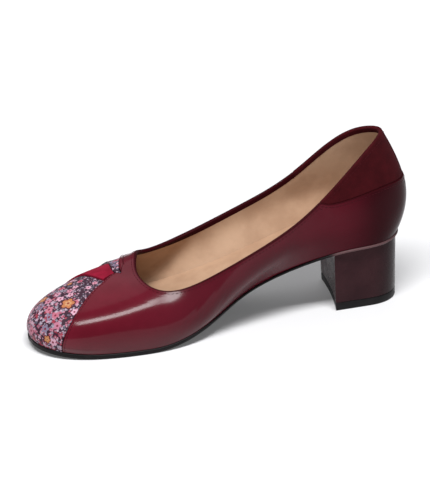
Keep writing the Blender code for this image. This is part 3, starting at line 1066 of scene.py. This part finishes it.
# %% Make the cuff
CUFF_THICK = 0.6 * MM
CUFF_END = 0.995
CUFF_CLEAR = 0.003
side = np.linspace(-CUFF_END, CUFF_END, 201)[:, None]
cuff_turn = BACK_TURN + CUFF_REACH * side
climb = np.linspace(0, 1, 31)[None, :]
low = cuff_line(cuff_turn) + CUFF_CLEAR
cuff_turn, cuff_share = np.broadcast_arrays(cuff_turn, low + (1 - low) * climb)
cuff_up = run_along(on_upper(cuff_turn, cuff_share), 1)
cuff_lift = CUFF_THICK * (0.35 + 0.65 * rounded(cuff_up, 0.5 * MM))
cuff = slab("suede_cuff", *rolled(cuff_turn, cuff_share, cuff_lift, -TURN_IN), [DARK_SUEDE])

# %% [markdown]
# ## Sole and sock
#
# The sole is a thin sheet of rubber that follows the last from the toe to the heel seat. Rungs
# laid from the inner edge to the outer edge give its grid, and the heights near the outline drop
# to round its rims. The sock inside is the same ladder, set in from the edge, spread at the top
# to meet the lining, and slightly dished where the heel of the foot rests.

# %% Plan of the sole
SOLE_MARGIN = 0.8 * MM
FIRST_RUNG = 0.012


def rungs(cells, margin, spread=0.0):
    """Plan of a ladder of rungs from the toe to the heel.

    The spread widens it where the upper slants outwards.
    """
    along = np.linspace(0, 1, cells[0] + 1)
    drift = FIRST_RUNG + (1 - 2 * FIRST_RUNG) * (1 - np.cos(np.pi * along)) / 2
    edges = []
    for turn in (BACK_TURN * drift, 1 - (1 - BACK_TURN) * drift):
        row = section_at(turn)
        slant = row[:, EDGE_OUT, None] / row[:, EDGE_UP, None]
        edges.append(row[:, EDGE] + outward(turn, EDGE) * (margin + spread * slant))
    across = spaced(cells[1], 1.0, 0.0015)[None, :, None]
    return edges[0][:, None, :] + (edges[1] - edges[0])[:, None, :] * across


def place_grid(plan, height):
    flat = place(plan[..., 0].ravel(), plan[..., 1].ravel(), height.ravel())
    return flat.reshape(plan.shape[:2] + (3,))


def rim_distance(plan):
    """Distance of every point of a plan from its outline."""
    outline = np.concatenate([plan[0], plan[-1], plan[:, 0], plan[:, -1]])
    return np.linalg.norm(plan[:, :, None, :] - outline, axis=3).min(axis=2)


def rim_drop(plan, radius):
    """Drop that rounds the rim of a piece."""
    return radius * (1 - rounded(rim_distance(plan), radius))


sole_plan = rungs((220, 32), SOLE_MARGIN)
print("sole plan of", sole_plan.shape[0], "rungs")

# %% Make the sole
SOLE_RIM = 0.7 * MM
TREAD = (0.60 * LENGTH, 0.915 * LENGTH)
TREAD_BORDER = 7.0 * MM
TREAD_DEPTH = 0.4 * MM
TREAD_SLOPE = 1.5 * MM


def tread_recess(plan):
    """Depth of the shallow recess under the ball of the foot."""
    station = plan[..., 0]
    from_ends = np.minimum(station - TREAD[0], TREAD[1] - station)
    from_sides = rim_distance(plan) - TREAD_BORDER
    return TREAD_DEPTH * ease(np.minimum(from_ends, from_sides), -TREAD_SLOPE, TREAD_SLOPE)


drop = rim_drop(sole_plan, SOLE_RIM)
station = sole_plan[..., 0]
sole_top = place_grid(sole_plan, sole_over(station) - drop)
sole_foot = place_grid(sole_plan, sole_under(station) + drop + tread_recess(sole_plan))
sole = slab("sole", sole_top, sole_foot, [RUBBER])

# %% Make the sock
SOCK_RIM = 0.6 * MM
SOCK_THICK = 2.0 * MM
SOCK_SPREAD = 1.2 * MM
SEAT_DISH = 0.8 * MM
SEAT_MIDDLE = (32 * MM, -1 * MM)
SEAT_REACH = (22 * MM, 16 * MM)

plan = rungs((160, 32), -(WALL + 0.5 * GAP), SOCK_SPREAD)
seat = np.exp(-(((plan - SEAT_MIDDLE) / SEAT_REACH) ** 2).sum(axis=2))
sock_rise = SOCK_THICK - SEAT_DISH * seat - rim_drop(plan, SOCK_RIM)
sock_top = place_grid(plan, sole_over(plan[..., 0]) + GAP + sock_rise)
plan = rungs((160, 32), -(WALL + 2 * GAP))
sock = slab("sock", sock_top, place_grid(plan, sole_over(plan[..., 0]) + GAP), [SOCK])

# %% [markdown]
# ## The heel
#
# The heel is a D-shaped block with a hollow breast, a little smaller at the floor than at the
# seat, and its top follows the sole. Under it sits a black wearing piece, five millimetres thick.
# Both are grids in plan with a rounded rim.

# %% Make the heel
HEEL_HALF = (21.8 * MM, 22.9 * MM)
HEEL_BREAST = (46.8 * MM, 48.6 * MM)
HEEL_BACK = (3.2 * MM, 3.2 * MM)
HEEL_BOW = (0.87, 0.95)
HEEL_TURN = 26 * MM
HEEL_ACROSS = -0.8 * MM
BREAST_HOLLOW = 1.2 * MM
BREAST_SKEW = 6.8 * MM
STRAIGHT = 0.4
TOP_PIECE = 5.0 * MM
PIECE_RIM = 0.5 * MM
HEEL_RIM = 0.35 * MM
HEEL_GAP = 0.1 * MM


def heel_plan(level):
    """Heel in plan, from the breast round to the back; level 0 is the floor and 1 the seat."""
    straight = STRAIGHT * np.concatenate([(0, 0.005, 0.012, 0.024), np.linspace(0.06, 1, 13)])
    curved = 1 - (1 - STRAIGHT) * np.cos(np.linspace(0, np.pi / 2, 40))[1:] ** 1.3
    a = np.concatenate([straight, curved])[:, None]
    b = spaced(30, 1.0, 0.002)[None, :]
    ends = (HEEL_HALF, HEEL_BREAST, HEEL_BACK, HEEL_BOW)
    half, breast, rear, bow = (low + (high - low) * level for low, high in ends)
    turn = np.clip((a - STRAIGHT) / (1 - STRAIGHT), 0, 1) * np.pi / 2
    side = 2 * b - 1
    start = breast - BREAST_HOLLOW * (1 - side**2) - BREAST_SKEW * b
    station = start + (HEEL_TURN - start) * np.clip(a / STRAIGHT, 0, 1)
    station = station - (HEEL_TURN - rear) * np.sin(turn) ** bow
    across = HEEL_ACROSS + half * np.maximum(np.cos(turn), 0) ** bow * side
    return np.stack([station, across], axis=-1)


seat_plan, foot_plan, floor_plan = map(heel_plan, (1.0, TOP_PIECE / HEEL_SEAT, 0.0))
heel_top = place_grid(seat_plan, sole_under(seat_plan[..., 0]) - HEEL_GAP)
heel_foot = place_grid(foot_plan, TOP_PIECE + HEEL_GAP + rim_drop(foot_plan, HEEL_RIM))
heel = slab("heel_block_cover", heel_top, heel_foot, [HEEL])
piece_top = place_grid(foot_plan, TOP_PIECE - rim_drop(foot_plan, PIECE_RIM))
piece_foot = place_grid(floor_plan, rim_drop(floor_plan, PIECE_RIM))
top_piece = slab("heel_wearing_piece", piece_top, piece_foot, [RUBBER])

# %% [markdown]
# ## Stitches
#
# Rows of short tone-on-tone stitches hold the folded edges down: one below the quarter's top
# edge, one along its edge over the panels, one along the seam on the outer side, and one round
# the top of the cuff. Geometry Nodes set out such rows well: a line becomes a curve, the curve
# gives points at an even pitch, and each point carries one stitch that lies along it.

# %% Lines for the stitches
STITCH_INSET = 1.7 * MM
CUFF_INSET = 2.2 * MM
THREAD_LIFT = 0.05 * MM
SEAM_SHARES = (0.03, 0.89)
BARE_ROWS = 6

below_top = [[np.interp(-STITCH_INSET, -run, values) for run, values in zip(from_top, grid)]
             for grid in (quarter_share, quarter_lift)]
stitch_lines = [on_upper(quarter_turn[:, -1], below_top[0], np.array(below_top[1]) + THREAD_LIFT)]
seam_columns = np.flatnonzero((shares > SEAM_SHARES[0]) & (shares < SEAM_SHARES[1]))
for run, flip in ((from_begin, 1), (from_end, -1)):
    spots = []
    for k in seam_columns:
        turn, high = (np.interp(STITCH_INSET, run[::flip, k], grid[::flip, k])
                      for grid in (quarter_turn, quarter_lift))
        spots.append(on_upper(turn, shares[k], high + THREAD_LIFT))
    stitch_lines.append(np.array(spots))
cuff_run = cuff_turn[BARE_ROWS:-BARE_ROWS, -1]
stitch_lines.append(on_upper(cuff_run, 1.0, CUFF_THICK + THREAD_LIFT, -CUFF_INSET))
for line in stitch_lines:
    print(f"stitched line of {run_along(line[:, None, :], 0)[-1, 0] / MM:.0f} mm")

# %% Geometry nodes: from lines to shapes
def join(tree, *links):
    """Link sockets, each given as a node, its output, a node and its input."""
    for start, output, stop, socket in links:
        tree.links.new(start.outputs[output], stop.inputs[socket])


def new_tree(name, sizes, kinds):
    """Geometry tree from lines to shapes with a finish: its nodes between a curve and a solid."""
    tree = bpy.data.node_groups.new(name, "GeometryNodeTree")
    tree.interface.new_socket("Geometry", in_out="INPUT", socket_type="NodeSocketGeometry")
    for title in sizes:
        tree.interface.new_socket(title, in_out="INPUT", socket_type="NodeSocketFloat")
    tree.interface.new_socket("Finish", in_out="INPUT", socket_type="NodeSocketMaterial")
    tree.interface.new_socket("Geometry", in_out="OUTPUT", socket_type="NodeSocketGeometry")
    ends = ("NodeGroupInput", "GeometryNodeMeshToCurve", "GeometryNodeRealizeInstances",
            "GeometryNodeSetMaterial", "NodeGroupOutput")
    given, curve, solid, finish, result = map(tree.nodes.new, ends)
    join(
        tree,
        (given, "Geometry", curve, "Mesh"),
        (solid, "Geometry", finish, "Geometry"),
        (given, "Finish", finish, "Material"),
        (finish, "Geometry", result, "Geometry"),
    )
    return tree, given, curve, solid, *map(tree.nodes.new, kinds)


def lines_mesh(name, lines):
    """Mesh of open lines."""
    points, edges = [], []
    for line in lines:
        first = len(points)
        points += line.tolist()
        edges += [(first + i, first + i + 1) for i in range(len(line) - 1)]
    mesh = bpy.data.meshes.new(name)
    mesh.from_pydata(points, edges, [])
    return mesh


def grown(name, mesh, tree, values):
    """The plain mesh that a geometry tree makes from a mesh."""
    piece = linked(name, mesh)
    modifier = piece.modifiers.new(name, "NODES")
    modifier.node_group = tree
    for item in tree.interface.items_tree:
        if item.in_out == "INPUT" and item.name in values:
            modifier[item.identifier] = values[item.name]
    view = bpy.context.evaluated_depsgraph_get()
    result = bpy.data.meshes.new_from_object(piece.evaluated_get(view))
    piece.modifiers.clear()
    piece.data = result
    result.polygons.foreach_set("use_smooth", np.ones(len(result.polygons), dtype=bool))
    print(name, len(result.polygons), "faces")
    return piece


print("a tree takes lines and gives a plain mesh")

# %% Geometry nodes: a row of stitches
def stitch_tree():
    """Lines in, stitches out."""
    sizes = ("Pitch", "Stitch length", "Thread width")
    kinds = ("GeometryNodeCurveToPoints", "GeometryNodeMeshUVSphere", "ShaderNodeCombineXYZ",
             "GeometryNodeInstanceOnPoints")
    tree, given, curve, solid, points, ball, size, stitches = new_tree("stitch_row", sizes, kinds)
    points.mode = "LENGTH"
    ball.inputs["Segments"].default_value = 8
    ball.inputs["Rings"].default_value = 5
    ball.inputs["Radius"].default_value = 0.5
    join(
        tree,
        (curve, "Curve", points, "Curve"),
        (given, "Pitch", points, "Length"),
        (given, "Thread width", size, "X"),
        (given, "Thread width", size, "Y"),
        (given, "Stitch length", size, "Z"),
        (points, "Points", stitches, "Points"),
        (points, "Rotation", stitches, "Rotation"),
        (ball, "Mesh", stitches, "Instance"),
        (size, "Vector", stitches, "Scale"),
        (stitches, "Instances", solid, "Geometry"),
    )
    return tree


stitch_sizes = {"Pitch": 2.3 * MM, "Stitch length": 1.8 * MM, "Thread width": 0.38 * MM}
stitch_mesh = lines_mesh("stitch_rows", stitch_lines)
stitches = grown("stitch_rows", stitch_mesh, stitch_tree(), {**stitch_sizes, "Finish": THREAD})

# %% [markdown]
# ## Ribs under the sole
#
# The tread under the ball of the foot is moulded with low ribs, in a shallow recess that leaves a
# plain border. They could be a pattern in the finish, but a rib is a shape, so it belongs in the
# mesh. The same kind of tree makes them: a line across the tread becomes a curve, and a round
# profile sunk into the sole is swept along it.

# %% Make the ribs
RIB_PITCH = 3.6 * MM
RIB_RADIUS = 0.9 * MM
RIB_ENDS = (TREAD[0] + 2 * MM, TREAD[1] - 1 * MM)


def rib_tree():
    """Lines in, round bars out."""
    kinds = ("GeometryNodeCurvePrimitiveCircle", "GeometryNodeCurveToMesh")
    tree, given, curve, solid, profile, bars = new_tree("tread_rib", ("Rib radius",), kinds)
    profile.inputs["Resolution"].default_value = 16
    bars.inputs["Fill Caps"].default_value = True
    join(
        tree,
        (given, "Rib radius", profile, "Radius"),
        (curve, "Curve", bars, "Curve"),
        (profile, "Curve", bars, "Profile Curve"),
        (bars, "Mesh", solid, "Geometry"),
    )
    return tree


rib_lines = []
sole_sides = [sole_plan[::-1, side] for side in (0, -1)]
for station in np.arange(*RIB_ENDS, RIB_PITCH):
    inner, outer = (np.interp(station, side[:, 0], side[:, 1]) for side in sole_sides)
    across = np.linspace(inner + TREAD_BORDER, outer - TREAD_BORDER, 13)
    along = np.full_like(across, station)
    rib_lines.append(place(along, across, sole_under(along) + RIB_RADIUS))
rib_mesh = lines_mesh("tread_ribs", rib_lines)
ribs = grown("tread_ribs", rib_mesh, rib_tree(), {"Rib radius": RIB_RADIUS, "Finish": RUBBER})
print(len(rib_lines), "ribs")

# %% [markdown]
# ## Body and the solids that are replaced
#
# Every piece rides on the shoe's one body. Each finer piece stands for a solid, which is hidden
# but stays in the simulation, and takes the name of that solid's finish in the record.

# %% Tie the pieces to the imported shoe
PIECES = (
    (quarter, "smooth_leather", "upper"),
    (lining, "sock_leather", None),
    (toe, "printed_leather", "toe_cap"),
    (strip, "red_suede", "suede_band"),
    (band, "printed_leather", "floral_band"),
    (vamp, "smooth_leather", "vamp_panel"),
    (cuff, "dark_suede", "heel_cuff"),
    (sole, "sole_rubber", "outsole"),
    (sock, "sock_leather", "insole"),
    (heel, "heel_leather", "heel_block"),
    (top_piece, "sole_rubber", "heel_top_piece"),
    (stitches, "smooth_leather", None),
    (ribs, "sole_rubber", None),
)
for piece, slot_name, node in PIECES:
    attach(piece, BODY)
    if node:
        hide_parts(node)
print(len(PIECES), "pieces ride on", BODY)

# %% [markdown]
# ## Floor and light
#
# The shoe stands on a plain white floor. The long highlight on the inner shoulder mirrors a lamp
# high in front, longer along the shoe than across it, so that lamp is a strip, and it throws the
# shadow back under the arch. A wide soft lamp behind and a pale sky fill the rest. The floor also
# glows, which is painted light, and it glows less near the shoe, which is a painted shadow round
# it.

# %% Make the floor
FLOOR_HALF = 4.0
FLOOR_TINTS = ((0.64, 0.64, 0.65), (0.68, 0.68, 0.69))
# painted glow of the floor: dim near the shoe, a painted shadow, and full away from it
FLOOR_PAINTED_GLOW = ((0.2, 0.2, 0.2), (1.0, 1.0, 1.0))
FLOOR_CORNERS = ((-1, -1), (1, -1), (1, 1), (-1, 1))


def floor():
    """A matt floor with a painted glow, dimmer near the shoe as a painted shadow."""
    finish = Finish("pale_floor", Specular_IOR_Level=0.0, Emission_Strength=0.5)
    spot = finish.place()
    # Painted light: the floor glows, less near the shoe, which paints a shadow round it.
    glow = finish.mix(finish.length(spot).ease(0.12, 0.6), *FLOOR_PAINTED_GLOW)
    finish.set(Emission_Color=glow, Base_Color=finish.mix(finish.noise(spot, 3.0), *FLOOR_TINTS))
    finish.set(Roughness=finish.noise(spot, 40.0).ease(0.3, 0.7, 0.85, 0.95))
    corners = [(x * FLOOR_HALF, y * FLOOR_HALF, 0) for x, y in FLOOR_CORNERS]
    mesh = bpy.data.meshes.new("floor")
    mesh.from_pydata(corners, [], [(0, 1, 2, 3)])
    mesh.materials.append(finish.material)
    piece = linked("floor", mesh)


floor()
print("floor of", 2 * FLOOR_HALF, "m")

# %% Set the lamps and the sky
SKY = (0.95, 0.97, 1.0, 1.0)
SKY_STRENGTH = 0.22
# name, place, aim, size in metres and power in watts
LAMPS = (
    ("overhead_strip", (-0.20, -0.48, 1.25), (-0.20, 0.0, 0.0), (1.0, 0.28), 26.0),
    ("wide_soft", (-0.1, 0.80, 1.30), (0.0, 0.0, 0.0), (1.7, 1.2), 6.0),
)


def lamp(name, spot, aim, size, power):
    """A rectangular lamp pointed at a place."""
    data = bpy.data.lights.new(name, "AREA")
    data.shape = "RECTANGLE"
    data.size, data.size_y = size
    data.energy = power
    made = linked(name, data)
    made.location = spot
    made.rotation_euler = (Vector(aim) - Vector(spot)).to_track_quat("-Z", "Y").to_euler()


for row in LAMPS:
    lamp(*row)
world = bpy.data.worlds.new("studio")
world.use_nodes = True
sky = world.node_tree.nodes["Background"]
sky.inputs["Color"].default_value = SKY
sky.inputs["Strength"].default_value = SKY_STRENGTH
bpy.context.scene.world = world
bpy.context.scene.view_settings.view_transform = "Standard"
print(len(LAMPS), "lamps and a sky")
